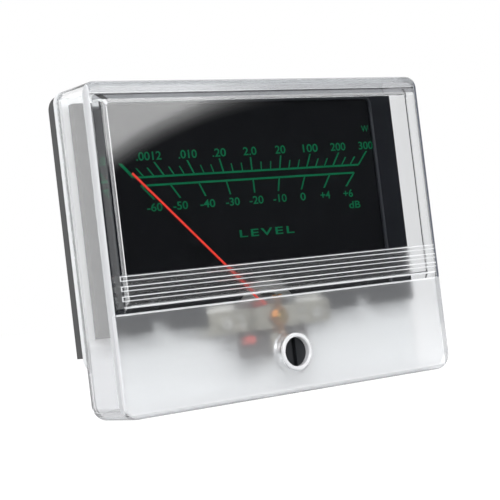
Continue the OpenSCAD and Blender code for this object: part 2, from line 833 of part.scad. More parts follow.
module rear_bridge_screws()
    color("silver")
    both(leg_x)
        difference() {
            rod(1.5, rear_bridge_back_d, rear_bridge_back_d + 1, 0, pivot_z);
            bar(0.4, rear_bridge_back_d + 0.5, rear_bridge_back_d + 2, pivot_z - 2, pivot_z + 2);
        }

// Red body that shows through the frosting, below the bridge at the left
resistor_r = 1.5;
resistor_l = 3.4;
resistor_x = -block_x - 3.9;
resistor_z = block_top_z - 2.7;
module series_resistor()
    color([0.6, 0.16, 0.12]) {
        translate([resistor_x - resistor_l / 2, face_y + block_d - resistor_r, resistor_z])
            rotate([0, 90, 0])
                cylinder(r = resistor_r, h = resistor_l);
        bar(2, block_d - resistor_r, block_d, resistor_z - 1, resistor_z + 1, resistor_x);
    }

// Clear plate behind the rim, with a shallow plug that closes the cover
module back_outline() {
    intersection() {
        cover_outline();
        translate([-cover_w / 2, back_foot_z + foot_corner_r]) square([cover_w, cover_h]);
    }
    for (side = [-1, 1])
        translate([side * (cover_w / 2 - foot_corner_r), back_foot_z + foot_corner_r]) circle(foot_corner_r);
    translate([-cover_w / 2 + foot_corner_r, back_foot_z])
        square([cover_w - 2 * foot_corner_r, foot_corner_r]);
}

module back_plate()
    color([0.8, 0.88, 0.82, 0.45])
    difference() {
        union() {
            slab(rim_d, plate_back_d) back_outline();
            rod(can_r + 0.8, rim_d - 0.3, plate_back_d, 0, pivot_z);
            slab(plug_d, rim_d + 0.01) cover_outline(side_wall + slip_gap);
        }
        rod(can_bore_r, plug_d - cut, plate_back_d + cut, 0, pivot_z);
        both(movement_screw_x)
            rod(2.3, plug_d - cut, plug_d + 0.75, 0, movement_screw_z);
        both(boss_x)
            for (z = [boss_low_z, boss_high_z])
                rod(screw_r, plug_d - cut, plate_back_d + cut, 0, z);
    }

// Black rear tray for the lamps, with a round hole for the can
module rim_outline(inset = 0)
    intersection() {
        w = cover_w / 2 - inset;
        union() {
            translate([-w, rim_foot_z + inset])
                square([2 * w, rim_top_z - rim_corner_r - rim_foot_z - inset]);
            translate([-w + rim_corner_r, rim_foot_z + inset])
                square([2 * (w - rim_corner_r), rim_top_z - rim_foot_z - 2 * inset]);
            for (side = [-1, 1])
                translate([side * (w - rim_corner_r), rim_top_z - rim_corner_r - inset]) circle(rim_corner_r);
        }
    }

module rear_housing()
    color([0.07, 0.07, 0.07])
    difference() {
        union() {
            difference() {
                slab(plate_back_d, seat_d) rim_outline();
                slab(plate_back_d - cut, rim_floor_d) rim_outline(shell_wall);
            }
            both(boss_x)
                for (z = [boss_low_z, boss_high_z])
                    rod(boss_out_r, plate_back_d, rim_floor_d + 0.2, 0, z);
            both(stud_pitch_x / 2)
                for (z = [-1, 1])
                    rod(stud_head_r + 1, plate_back_d + stud_head_t, rim_floor_d + 0.2,
                        0, stud_mid_z + z * stud_pitch_z / 2);
        }
        rod(can_r, plate_back_d - cut, seat_d + cut, 0, pivot_z);
        both(boss_x)
            for (z = [boss_low_z, boss_high_z]) {
                rod(screw_r, plate_back_d - cut, seat_d + cut, 0, z);
                rod(screw_head_r + 0.2, seat_d - screw_head_t - 0.1, seat_d + cut, 0, z);
            }
        both(stud_pitch_x / 2)
            for (z = [-1, 1])
                rod(stud_root_r, plate_back_d, seat_d + cut, 0, stud_mid_z + z * stud_pitch_z / 2);
        both(lamp_pin_x)
            rod(lamp_pin_r, rim_floor_d - cut, seat_d + cut, 0, lamp_z);
    }

// Black round can over the movement
module rear_can()
    color([0.07, 0.07, 0.07])
    difference() {
        union() {
            difference() {
                rod(can_r, plate_back_d, can_back_d, 0, pivot_z);
                rod(can_bore_r, plate_back_d - cut, can_floor_d, 0, pivot_z);
            }
            for (z = [-board_post_at, board_post_at])
                rod(board_post_r, board_back_d, can_floor_d + 0.2, 0, pivot_z + z);
        }
        for (z = [-board_post_at, board_post_at])
            rod(small_screw_r, board_back_d - cut, can_floor_d, 0, pivot_z + z);
        both(terminal_pitch / 2)
            rod(terminal_r, can_floor_d - cut, can_back_d + cut, 0, pivot_z);
    }

module case_screws()
    color([0.2, 0.2, 0.21])
    both(boss_x)
        for (z = [boss_low_z, boss_high_z])
            difference() {
                union() {
                    rod(screw_head_r, seat_d - screw_head_t - 0.1, seat_d - 0.1, 0, z);
                    rod(screw_r, carrier_back_d - 0.8, seat_d - screw_head_t, 0, z);
                }
                bar(0.7, seat_d - 0.7, seat_d + cut, z - 3, z + 3);
                bar(3.4, seat_d - 0.7, seat_d + cut, z - 0.35, z + 0.35);
            }

module mounting_studs()
    color("silver")
    both(stud_pitch_x / 2)
        for (z = [-1, 1]) {
            rod(stud_head_r, plate_back_d, plate_back_d + stud_head_t, 0, stud_mid_z + z * stud_pitch_z / 2);
            rod(stud_root_r, plate_back_d, seat_d, 0, stud_mid_z + z * stud_pitch_z / 2);
            rod(stud_r, plate_back_d, seat_d + stud_len, 0, stud_mid_z + z * stud_pitch_z / 2);
        }

module lamp_board()
    color([0.12, 0.4, 0.22])
    difference() {
        bar(lamp_pitch * (lamp_count - 1) + 4 * lamp_w, lamp_board_d, rim_floor_d,
            lamp_z - lamp_board_h / 2, lamp_z + lamp_board_h / 2);
        both(lamp_pin_x)
            rod(lamp_pin_r, lamp_board_d - cut, rim_floor_d + cut, 0, lamp_z);
    }

module lamps()
    color([0.95, 0.93, 0.8])
    for (i = [0 : lamp_count - 1])
        bar(lamp_w, lamp_board_d - lamp_t, lamp_board_d, lamp_z - lamp_h / 2, lamp_z + lamp_h / 2,
            (i - (lamp_count - 1) / 2) * lamp_pitch);

module lamp_pins()
    color("silver")
    both(lamp_pin_x)
        rod(lamp_pin_r, lamp_board_d - 0.4, seat_d + lamp_pin_len, 0, lamp_z);

module rectifier_board()
    color([0.12, 0.4, 0.22])
    difference() {
        rod(can_bore_r - slip_gap, board_d, board_back_d, 0, pivot_z);
        for (z = [-board_post_at, board_post_at])
            rod(0.9, board_d - cut, board_back_d + cut, 0, pivot_z + z);
    }

module board_parts()
    color([0.3, 0.2, 0.18])
    for (z = [-5, 5])
        bar(5, board_back_d, board_back_d + 1.6, pivot_z + z - 1.3, pivot_z + z + 1.3);

module board_screws()
    color("silver")
    for (z = [-board_post_at, board_post_at]) {
        rod(1.5, board_d - 0.8, board_d, 0, pivot_z + z);
        rod(small_screw_r, board_d - 0.1, can_floor_d - 0.3, 0, pivot_z + z);
    }

terminal_head_r = 2.8;
terminal_head_t = 1.4;
washer_t = 0.5;
lug_t = 0.5;
terminal_nut_t = 2.4;
terminal_shoulder_d = can_back_d + washer_t + lug_t + terminal_nut_t + 0.4;
terminal_tip_len = 5.2;
terminal_tip_r = terminal_r - 0.25;
module terminal_studs()
    color("gold")
    both(terminal_pitch / 2) {
        rod(terminal_head_r, can_floor_d - terminal_head_t, can_floor_d, 0, pivot_z);
        rod(terminal_r, can_floor_d - terminal_head_t, terminal_shoulder_d, 0, pivot_z);
        rod(terminal_tip_r, can_floor_d, terminal_shoulder_d + terminal_tip_len, 0, pivot_z);
    }

module terminal_washers()
    color("silver")
    both(terminal_pitch / 2)
        difference() {
            rod(3, can_back_d, can_back_d + washer_t, 0, pivot_z);
            rod(terminal_r, can_back_d - cut, can_back_d + 1, 0, pivot_z);
        }

module solder_lugs()
    color("silver")
    both(terminal_pitch / 2)
        difference() {
            slab(can_back_d + washer_t, can_back_d + washer_t + lug_t)
                union() {
                    translate([0, pivot_z]) circle(2.8);
                    translate([-1.2, pivot_z]) square([2.4, 8]);
                    translate([0, pivot_z + 8]) circle(1.2);
                }
            rod(terminal_r, can_back_d, can_back_d + 2, 0, pivot_z);
            rod(0.6, can_back_d, can_back_d + 2, 0, pivot_z + 7.6);
        }

module terminal_nuts()
    color("gold")
    both(terminal_pitch / 2)
        difference() {
            slab(can_back_d + washer_t + lug_t, can_back_d + washer_t + lug_t + terminal_nut_t)
                translate([0, pivot_z]) circle(3.1, $fn = 6);
            rod(terminal_r, can_back_d, can_back_d + 6, 0, pivot_z);
        }

front_cover();
zero_bezel();
zero_screw();
zero_crank();
dial_carrier();
dial_plate();
dial_screws();
pointer_stops();
light_diffuser();
diffuser_screws();
pointer();
pointer_hub();
counterweights();
coil_former();
coil_winding();
pivots();
spring_collets();
front_hairspring();
rear_hairspring();
zero_lever();
front_bridge();
bridge_screws();
bridge_rivets();
front_jewel_screw();
rear_jewel_screw();
jewel_nuts();
movement_base();
movement_screws();
yoke_ring();
magnet_blocks();
magnet_spacer();
iron_core();
core_clamps();
rear_bridge();
rear_bridge_screws();
series_resistor();
back_plate();
rear_housing();
rear_can();
case_screws();
mounting_studs();
lamp_board();
lamps();
lamp_pins();
rectifier_board();
board_parts();
board_screws();
terminal_studs();
terminal_washers();
solder_lugs();
terminal_nuts();
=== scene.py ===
import math
import bpy
import bmesh
from mathutils import Matrix, Vector


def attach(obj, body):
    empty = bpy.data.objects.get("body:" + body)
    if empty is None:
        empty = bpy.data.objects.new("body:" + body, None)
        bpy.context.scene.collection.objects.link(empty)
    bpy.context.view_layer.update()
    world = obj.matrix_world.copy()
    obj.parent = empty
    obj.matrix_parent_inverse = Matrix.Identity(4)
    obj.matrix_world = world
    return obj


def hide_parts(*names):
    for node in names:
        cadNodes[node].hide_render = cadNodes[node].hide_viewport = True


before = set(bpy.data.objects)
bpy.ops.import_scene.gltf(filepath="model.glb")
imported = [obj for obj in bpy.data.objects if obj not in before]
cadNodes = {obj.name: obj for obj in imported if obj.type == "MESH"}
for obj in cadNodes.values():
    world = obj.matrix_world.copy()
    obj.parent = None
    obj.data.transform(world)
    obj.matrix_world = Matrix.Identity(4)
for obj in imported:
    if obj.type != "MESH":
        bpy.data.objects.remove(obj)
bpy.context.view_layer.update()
mm = 0.001
face = -8.6      # the cover's front, in mm along Y
pivot = 25.0     # height of the pointer's axis
print("frame loaded:", len(cadNodes), "nodes")


class Wire:
    # a socket that can be used in a Python expression on values
    def __init__(self, maker, socket):
        self.maker = maker
        self.socket = socket

    def math(self, operation, first, second):
        return self.maker.math(operation, first, second)

    def __add__(self, other):
        return self.math("ADD", self, other)

    def __radd__(self, other):
        return self.math("ADD", other, self)

    def __sub__(self, other):
        return self.math("SUBTRACT", self, other)

    def __rsub__(self, other):
        return self.math("SUBTRACT", other, self)

    def __mul__(self, other):
        return self.math("MULTIPLY", self, other)

    def __rmul__(self, other):
        return self.math("MULTIPLY", other, self)


class NodeMaker:
    # adds nodes to one tree, and fills their sockets with values or links
    def __init__(self, tree):
        self.tree = tree
        self.tree.nodes.clear()

    def fill(self, socket, value):
        if isinstance(value, Wire):
            self.tree.links.new(value.socket, socket)
        else:
            socket.default_value = value

    def node(self, kind, settings=None, sockets=None, out=0):
        made = self.tree.nodes.new(kind)
        for key, value in (settings or {}).items():
            if key == "stops":
                ramp = made.color_ramp
                while len(ramp.elements) < len(value):
                    ramp.elements.new(0.5)
                for element, (position, colour) in zip(ramp.elements, value):
                    element.position = position
                    element.color = colour
            else:
                setattr(made, key, value)
        for key, value in (sockets or {}).items():
            self.fill(made.inputs[key], value)
        return Wire(self, made.outputs[out]) if len(made.outputs) else made

    def ramp(self, value, *stops):
        return self.node("ShaderNodeValToRGB", {"stops": stops}, {0: value})

    def tones(self, value, dark, light, low=0.3, high=0.7):
        # a colour that wanders between two tones
        return self.ramp(value, (low, (*dark, 1.0)), (high, (*light, 1.0)))

    def rise(self, value, low, high, first=0.0, way="LINEAR"):
        # goes from first to 1 while the value goes from low to high
        return self.node("ShaderNodeMapRange", {"clamp": True, "interpolation_type": way},
                         {0: value, 1: low, 2: high, 3: first, 4: 1.0})

    def mix(self, amount, first, second):
        return self.node("ShaderNodeMix", {"data_type": "RGBA"}, {0: amount, 6: first, 7: second}, out=2)

    def math(self, operation, first, second):
        return self.node("ShaderNodeMath", {"operation": operation}, {0: first, 1: second})

    def ray(self, name):
        return self.node("ShaderNodeLightPath", out=name)

    def blend(self, amount, first, second):
        return self.node("ShaderNodeMixShader", None, {0: amount, 1: first, 2: second})


class Finish(NodeMaker):
    # one material: a Principled shader with its plain values set on its own sockets
    def __init__(self, name, **plain):
        self.material = bpy.data.materials.new(name)
        self.material.use_nodes = True
        super().__init__(self.material.node_tree)
        self.output = self.node("ShaderNodeOutputMaterial")
        self.principled = self.node("ShaderNodeBsdfPrincipled")
        self.shader = self.principled.socket.node
        self.surface(self.principled)
        for key, value in plain.items():
            self.shader.inputs[key.replace("_", " ")].default_value = value
        self.place = None

    def at(self):
        # the place on the part, in metres
        if self.place is None:
            self.place = self.node("ShaderNodeTexCoord", out="Object")
        return self.place

    def axis(self, letter):
        return self.node("ShaderNodeSeparateXYZ", None, {0: self.at()}, out="XYZ".index(letter))

    def noise(self, scale, detail=3.0, stretch=(1, 1, 1)):
        where = self.at()
        if tuple(stretch) != (1, 1, 1):
            where = self.node("ShaderNodeMapping", None, {"Vector": where, "Scale": stretch})
        return self.node("ShaderNodeTexNoise", None,
                         {"Vector": where, "Scale": scale, "Detail": detail, "Roughness": 0.55})

    def feed(self, name, value):
        self.fill(self.shader.inputs[name], value)

    def bump(self, height, strength, depth):
        self.feed("Normal", self.node("ShaderNodeBump", None,
                                      {"Strength": strength, "Distance": depth, "Height": height}))

    def surface(self, shader):
        self.tree.links.new(shader.socket, self.output.inputs["Surface"])


class ShapeTree(NodeMaker):
    # one Geometry Nodes tree with named inputs, run once for each set of sizes
    def __init__(self, name, **kinds):
        super().__init__(bpy.data.node_groups.new(name, "GeometryNodeTree"))
        for key, kind in kinds.items():
            self.tree.interface.new_socket(key, in_out="INPUT", socket_type="NodeSocket" + kind)
        self.tree.interface.new_socket("shape", in_out="OUTPUT", socket_type="NodeSocketGeometry")
        self.source = self.tree.nodes.new("NodeGroupInput")

    def given(self, key):
        return Wire(self, self.source.outputs[key])

    def vector(self, x, y, z):
        return self.node("ShaderNodeCombineXYZ", None, {0: x, 1: y, 2: z})

    def part(self, vector, letter):
        return self.node("ShaderNodeSeparateXYZ", None, {0: vector}, out=letter)

    def close(self, shape, material):
        solid = self.node("GeometryNodeRealizeInstances", None, {0: shape})
        painted = self.node("GeometryNodeSetMaterial", None, {"Geometry": solid, "Material": material})
        self.node("NodeGroupOutput", None, {0: painted})

    def make(self, name, **sizes):
        blank = bpy.data.meshes.new("blank")
        holder = bpy.data.objects.new(name, blank)
        bpy.context.scene.collection.objects.link(holder)
        modifier = holder.modifiers.new("shape", "NODES")
        modifier.node_group = self.tree
        for item in self.tree.interface.items_tree:
            if item.in_out == "INPUT":
                modifier[item.identifier] = sizes[item.name]
        bpy.context.view_layer.update()
        evaluated = holder.evaluated_get(bpy.context.evaluated_depsgraph_get())
        mesh = bpy.data.meshes.new_from_object(evaluated)
        holder.modifiers.remove(modifier)
        bpy.data.objects.remove(holder)
        bpy.data.meshes.remove(blank)
        mesh.name = name
        return mesh


def tinted(colour, amount):
    return tuple(min(1.0, c * amount) for c in colour)


mouldedSettings = {
    "cloudScale": 160.0,     # slow changes of tone, and their detail
    "cloudDetail": 4.0,
    "fineTimes": 4,          # the grain is this much finer than its given scale
    "fineDetail": 2.0,
    "roughSpread": 0.12,
    "bump": 0.35,
}


def mouldedFinish(name, colour, rough, grain=900.0, depth=0.00003, spread=0.12, **plain):
    m = mouldedSettings
    made = Finish(name, **plain)
    cloud = made.noise(m["cloudScale"], m["cloudDetail"])
    fine = made.noise(grain * m["fineTimes"], m["fineDetail"])
    made.feed("Base Color", made.tones(cloud, tinted(colour, 1 - spread), tinted(colour, 1 + spread)))
    made.feed("Roughness", cloud * m["roughSpread"] + (rough - m["roughSpread"] / 2))
    made.bump(fine, m["bump"], depth)
    return made.material


metalSettings = {
    "stainScale": 220.0,     # faint stains in the colour, and how far they reach
    "stainDetail": 3.0,
    "stainTop": 0.75,
    "streakDetail": 4.0,
    "roughSpread": 0.22,
    "bump": 0.3,
    "depth": 0.00002,
}


def metalFinish(name, colour, rough, stretch=(1, 1, 1), scale=700.0, spread=0.1, metal=1.0):
    m = metalSettings
    made = Finish(name, Metallic=metal)
    streak = made.noise(scale, m["streakDetail"], stretch)
    stain = made.noise(m["stainScale"], m["stainDetail"])
    made.feed("Base Color", made.tones(stain, tinted(colour, 1 - spread), tinted(colour, 1 + spread),
                                       high=m["stainTop"]))
    made.feed("Roughness", streak * m["roughSpread"] + (rough - m["roughSpread"] / 2))
    made.bump(streak, m["bump"], m["depth"])
    return made.material


blackPlastic = mouldedFinish("blackMouldedPlastic", (0.0092, 0.0102, 0.0130), 0.5,
                             Specular_IOR_Level=0.14)
blackHousing = mouldedFinish("blackHousingPlastic", (0.022, 0.022, 0.023), 0.55, 600.0, 0.00006)
palePlastic = mouldedFinish("paleNylon", (0.80, 0.79, 0.75), 0.5)
beadBlack = mouldedFinish("beadBlack", (0.022, 0.024, 0.029), 0.35, 700.0)
opalPlastic = mouldedFinish("opalSheet", (0.86, 0.86, 0.84), 0.4, spread=0.03)
dialBlack = mouldedFinish("dialMattBlack", (0.0062, 0.0066, 0.0078), 0.7, 1500.0, 0.000004,
                          Specular_IOR_Level=0.08)
headBlack = mouldedFinish("adjusterBlack", (0.012, 0.013, 0.015), 0.36, 700.0)
blackSteel = metalFinish("blackenedSteel", (0.05, 0.05, 0.055), 0.45)
plainSteel = metalFinish("nickelPlatedSteel", (0.62, 0.61, 0.59), 0.32)
paleSteel = metalFinish("paleZincHead", (0.80, 0.79, 0.75), 0.38, metal=0.75)
ironRing = metalFinish("bareSoftIron", (0.50, 0.50, 0.49), 0.42, (1, 6, 1))
magnetDark = mouldedFinish("darkMagnet", (0.055, 0.045, 0.043), 0.5, 500.0, 0.00004)
coreDark = metalFinish("groundCoreIron", (0.20, 0.19, 0.19), 0.5)
brassTurned = metalFinish("turnedBrass", (0.78, 0.55, 0.22), 0.3, (1, 8, 1))
goldPlated = metalFinish("terminalGold", (0.83, 0.62, 0.28), 0.26, (1, 8, 1))
copperBare = metalFinish("bareCopper", (0.80, 0.42, 0.19), 0.34)
copperWire = metalFinish("enamelledWire", (0.62, 0.26, 0.10), 0.35, (1, 40, 1), 900.0)
aluminiumSatin = metalFinish("satinAluminium", (0.62, 0.62, 0.63), 0.4)
bridgeMetal = metalFinish("bridgeNickelSilver", (0.37, 0.355, 0.305), 0.46, metal=0.4, spread=0.22)
spacerPale = metalFinish("spacerNickelSilver", (0.74, 0.72, 0.62), 0.42, metal=0.5)
boardGreen = mouldedFinish("boardLacquer", (0.02, 0.16, 0.06), 0.35, 500.0)
lampBody = mouldedFinish("lampBody", (0.85, 0.75, 0.40), 0.3)
partBlack = mouldedFinish("componentBlack", (0.02, 0.02, 0.02), 0.45)
redLacquer = mouldedFinish("redLacquer", (0.45, 0.05, 0.035), 0.35)
redPaint = mouldedFinish("pointerRed", (0.82, 0.045, 0.028), 0.45, 900.0, 0.00001, 0.05)
greenInk = mouldedFinish("dialGreenInk", (0.003, 0.122, 0.050), 0.7, 1800.0, 0.00001, 0.10,
                         Specular_IOR_Level=0.1)

platedSettings = {           # the bright ring around the zero adjuster
    "metallic": 0.35,
    "dark": (0.80, 0.80, 0.82),
    "light": (0.90, 0.90, 0.91),
    "swirlScale": 240.0,
    "roughLeast": 0.2,
    "roughSpread": 0.08,
    "waveScale": 90.0,
    "bump": 0.12,
    "depth": 0.00005,
}


def platedFinish():
    p = platedSettings
    made = Finish("brightPlating", Metallic=p["metallic"])
    swirl = made.noise(p["swirlScale"])
    made.feed("Base Color", made.tones(swirl, p["dark"], p["light"]))
    made.feed("Roughness", swirl * p["roughSpread"] + p["roughLeast"])
    made.bump(made.noise(p["waveScale"], 2.0), p["bump"], p["depth"])
    return made.material


backPlateSettings = {
    "through": 0.25,         # share of light that passes the milky sheet
    "index": 1.49,
    "dark": (0.84, 0.845, 0.855),
    "light": (0.90, 0.905, 0.915),
    "cloudScale": 70.0,
    "roughLeast": 0.45,
    "roughSpread": 0.1,
    "grain": 500.0,
    "bump": 0.15,
    "depth": 0.00003,
}


def backPlateFinish():
    b = backPlateSettings
    made = Finish("milkyBackPlate", Transmission_Weight=b["through"], IOR=b["index"])
    cloud = made.noise(b["cloudScale"])
    made.feed("Base Color", made.tones(cloud, b["dark"], b["light"]))
    made.feed("Roughness", cloud * b["roughSpread"] + b["roughLeast"])
    made.bump(made.noise(b["grain"], 2.0), b["bump"], b["depth"])
    return made.material


clearSettings = {
    # mm: widths and heights as they are, depths from the cover's front
    "frostTop": 43.1,                  # upper edge of the frosting on the window
    "slotTop": 33.2,                   # the polished strip across the window's foot
    "slotFoot": 31.4,
    "panelSkin": 0.5,                  # the frosting lies on the outer skin alone
    "windowSkin": -0.5,
    "barSlopes": (-2.12, -1.83),
    "rimDepth": 1.75,                  # the rounding around the front
    # the left rim and the foot rim get a painted highlight
    "leftRim": 65.5,
    # painted shade on the top rim
    "shadedTopRim": 97.9,
    "footRim": 1.5,
    # a dark band of painted shade down the right edge
    "shadedRightRim": 65.15,
    "rightHeights": (31.5, 100.5),
    "shadedLowRight": 64.0,                  # the right edge below the window, where a grey veil paints shade
    "walls": 63.8,                     # the cover's sides behind the rounding, which get painted shade
    "leftWallTop": 24,
    "slants": (63.3, 65.1),            # the window's sloped sides
    "slantDepths": (-1.7, -0.1),
    "shadedTopSlant": (95.7, 97.3),          # its sloped top, and the fine line above that, both darkened with painted shade
    "topSlantDepths": (-1.75, -0.05),
    "shadedTopLine": (97.3, 97.75),
    "topLineDepths": (-0.3, 0.3),
    "upperEdge": (32.95, 33.6),        # the eased edges above and below the polished strip, which get a painted highlight
    "upperEdgeDepths": (-1.9, -1.6),
    "lowerEdge": (31.0, 31.6),
    "lowerEdgeDepths": (-0.25, 0.3),
    "edgeEnd": 65.2,
    # towards the foot, the frosting gets painted light
    "footLightHeight": 12,
    # metres, over which a zone fades at its limit
    "soft": 0.0001,
    "barSoft": 0.00001,
    "lineSoft": 0.00005,
    "edgeSoft": 0.00006,
    "wallSoft": 0.002,
    "footLightSoft": 0.010,
    # roughness
    "frostRough": 0.28,                # of the lower panel
    "windowRough": 0.26,               # of the band with the bars
    "slantRough": 0.12,
    # share of light that is scattered
    "frostHaze": 0.085,
    "footLight": 0.18,                   # painted light: more scatter towards the cover's foot, so the panel brightens downwards
    "windowHaze": 0.025,
    "barHighlight": 0.55,                   # painted highlight on the bars' sloped edges
    # painted highlight on the left rim and the foot rim
    "leftRimHighlight": 0.7,
    "topHaze": 0.12,
    "footRimHighlight": 0.4,
    # painted shade down the right edge
    "rightShade": 0.94,
    "lowRightShade": 0.85,
    # painted highlight on the eased edges
    "edgeHighlight": 0.5,
    "slantHaze": 0.05,
}

clearTonesAndShade = {               # the clear plastic's own colour, and the painted shade that darkens some of its zones
    "rippleScale": 60.0,
    "dark": (0.965, 0.97, 0.975),
    "light": (0.985, 0.99, 0.99),
    # painted shade: the side walls, the rims and the top are darkened
    "shadedRightWall": (0.88, 0.885, 0.895, 1),
    "shadedLeftWall": (0.77, 0.77, 0.785, 1),
    "highlightRims": (0.60, 0.61, 0.63, 1),
    "shadedTopRim": (0.29, 0.295, 0.31, 1),
    "shadedTopSlant": (0.13, 0.135, 0.15, 1),
    "shadedTopLine": (0.03, 0.03, 0.035, 1),
}

veilTonesAndPaintedLight = {                # colours of the light that is scattered, with painted highlight on the rims and painted shade at the right edge
    "frosting": (0.93, 0.94, 0.96, 1),
    "highlightRims": (0.66, 0.665, 0.68, 1),
    # painted shade at the lower right
    "shadedLowRight": (0.40, 0.405, 0.415, 1),
    # painted shade down the right edge
    "shadedRightRim": (0.085, 0.09, 0.11, 1),
    "shadow": (0.94, 0.95, 0.95, 1),   # what lamps see of the cover
}


def clearFinish():
    c = clearSettings
    made = Finish("clearAcrylic", Transmission_Weight=1.0, IOR=1.49)
    wide, high, deep = made.axis("X"), made.axis("Z"), made.axis("Y")
    aside = made.math("ABSOLUTE", wide, 0.0)

    def over(value, limit, soft=c["soft"]):
        # 0 below the limit and 1 above it, over a short blend
        return made.rise(value, limit * mm - soft, limit * mm + soft)

    def under(value, limit, soft=c["soft"]):
        return 1.0 - over(value, limit, soft)

    def between(value, limits, soft=c["soft"]):
        return over(value, limits[0], soft) * under(value, limits[1], soft)

    def layer(depths, soft=c["soft"]):
        return between(deep, [face + depth for depth in depths], soft)

    def largest(first, *others):
        for other in others:
            first = made.math("MAXIMUM", first, other)
        return first

    lowerPanel = under(high, c["slotFoot"]) * under(deep, face + c["panelSkin"])
    bandSkin = between(high, (c["slotTop"], c["frostTop"])) * under(deep, face + c["windowSkin"])
    highlightSlopes = layer(c["barSlopes"], c["barSoft"]) * bandSkin
    front = under(deep, face + c["rimDepth"])
    leftRim = over(0.0 - wide, c["leftRim"]) * front
    footRim = under(high, c["footRim"])
    shadedRightRim = over(wide, c["shadedRightRim"]) * front * between(high, c["rightHeights"])
    shadedLowRight = over(wide, c["shadedLowRight"]) * front * under(high, c["slotFoot"])
    slants = between(aside, c["slants"]) * layer(c["slantDepths"]) * over(high, c["slotTop"])
    # the eased edges, where a highlight is painted
    edges = largest(between(high, c["upperEdge"], c["edgeSoft"]) * layer(c["upperEdgeDepths"]),
                    between(high, c["lowerEdge"], c["edgeSoft"]) * layer(c["lowerEdgeDepths"]))
    shadeZones = {                # painted shade, laid one over the other in this order
        "shadedRightWall": over(wide, c["walls"]) * (1.0 - front),
        "shadedLeftWall": (over(0.0 - wide, c["walls"]) * (1.0 - front)
                     * under(high, c["leftWallTop"], c["wallSoft"])),
        "highlightRims": largest(leftRim, footRim),
        "shadedTopRim": over(high, c["shadedTopRim"]) * front,
        "shadedTopSlant": between(high, c["shadedTopSlant"]) * layer(c["topSlantDepths"]),
        "shadedTopLine": between(high, c["shadedTopLine"], c["lineSoft"]) * layer(c["topLineDepths"]),
    }

    ripple = made.noise(clearTonesAndShade["rippleScale"], 2.0)
    toneAndShade = made.tones(ripple, clearTonesAndShade["dark"], clearTonesAndShade["light"])
    # each zone's painted shade darkens the plastic's colour
    for name, zone in shadeZones.items():
        toneAndShade = made.mix(zone, toneAndShade, clearTonesAndShade[name])
    made.feed("Base Color", toneAndShade)
    made.feed("Roughness", lowerPanel * c["frostRough"] + bandSkin * c["windowRough"]
              + slants * c["slantRough"])

    # what the frosting scatters, with painted highlights on the rims, the bars' slopes and the eased
    # edges, painted shade down the right edge and at the lower right, and painted light towards the foot
    fogAndFootLight = under(high, c["footLightHeight"], c["footLightSoft"]) * c["footLight"] + c["frostHaze"]
    haze = largest(lowerPanel * fogAndFootLight + bandSkin * c["windowHaze"], slants * c["slantHaze"],
                   highlightSlopes * c["barHighlight"], edges * under(aside, c["edgeEnd"]) * c["edgeHighlight"],
                   leftRim * c["leftRimHighlight"], shadeZones["shadedTopRim"] * c["topHaze"], footRim * c["footRimHighlight"],
                   shadedRightRim * c["rightShade"], shadedLowRight * c["lowRightShade"])
    veilLightAndShade = made.mix(shadeZones["highlightRims"], veilTonesAndPaintedLight["frosting"], veilTonesAndPaintedLight["highlightRims"])
    veilLightAndShade = made.mix(shadedLowRight, veilLightAndShade, veilTonesAndPaintedLight["shadedLowRight"])
    veilLightAndShade = made.mix(shadedRightRim, veilLightAndShade, veilTonesAndPaintedLight["shadedRightRim"])
    veil = made.node("ShaderNodeBsdfDiffuse", None, {"Color": veilLightAndShade})
    hazed = made.blend(haze, made.principled, veil)
    lampWay = made.node("ShaderNodeBsdfTransparent", None, {0: veilTonesAndPaintedLight["shadow"]})
    made.surface(made.blend(made.ray("Is Shadow Ray"), hazed, lampWay))
    return made.material


clearAcrylic = clearFinish()
milkyBack = backPlateFinish()
brightPlating = platedFinish()
print("finishes made")

dressing = {
    "zero_bezel": brightPlating, "zero_screw": headBlack, "zero_crank": brassTurned,
    "dial_carrier": blackPlastic, "dial_plate": dialBlack, "dial_screws": blackSteel,
    "pointer_stops": blackSteel, "light_diffuser": opalPlastic, "diffuser_screws": plainSteel,
    "pointer": redPaint, "pointer_hub": aluminiumSatin, "counterweights": brassTurned,
    "coil_former": aluminiumSatin, "coil_winding": copperWire, "pivots": plainSteel,
    "spring_collets": brassTurned, "front_hairspring": copperBare, "rear_hairspring": copperBare,
    "zero_lever": copperBare, "front_bridge": bridgeMetal, "bridge_screws": paleSteel,
    "bridge_rivets": paleSteel, "front_jewel_screw": brassTurned, "rear_jewel_screw": brassTurned,
    "jewel_nuts": brassTurned, "movement_base": palePlastic, "movement_screws": plainSteel,
    "yoke_ring": ironRing, "magnet_blocks": magnetDark, "magnet_spacer": spacerPale,
    "iron_core": coreDark, "core_clamps": brassTurned, "rear_bridge": bridgeMetal,
    "rear_bridge_screws": plainSteel, "series_resistor": redLacquer, "back_plate": milkyBack,
    "rear_housing": blackHousing, "rear_can": blackHousing, "case_screws": blackSteel,
    "mounting_studs": plainSteel, "lamp_board": boardGreen, "lamps": lampBody,
    "lamp_pins": plainSteel, "rectifier_board": boardGreen, "board_parts": partBlack,
    "board_screws": plainSteel, "terminal_studs": goldPlated, "terminal_washers": plainSteel,
    "solder_lugs": plainSteel, "terminal_nuts": goldPlated, "front_cover": clearAcrylic,
}


def dress(thing, material):
    thing.data.materials.clear()
    thing.data.materials.append(material)


for nodeName, material in dressing.items():
    dress(cadNodes[nodeName], material)


def addPiece(name, mesh, material, body):
    thing = bpy.data.objects.new(name, mesh)
    bpy.context.scene.collection.objects.link(thing)
    dress(thing, material)
    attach(thing, body)
    return thing


def sharpEdges(shape, angle):
    return [e for e in shape.edges if len(e.link_faces) == 2 and e.calc_face_angle(0) > angle]


coverSettings = {
    "weld": 0.000004,        # metres
    "flat": math.radians(0.6),
    "sharp": math.radians(40.0),
    "easing": 0.00014,       # metres, of the sharp edges
    "easingSteps": 2,
}


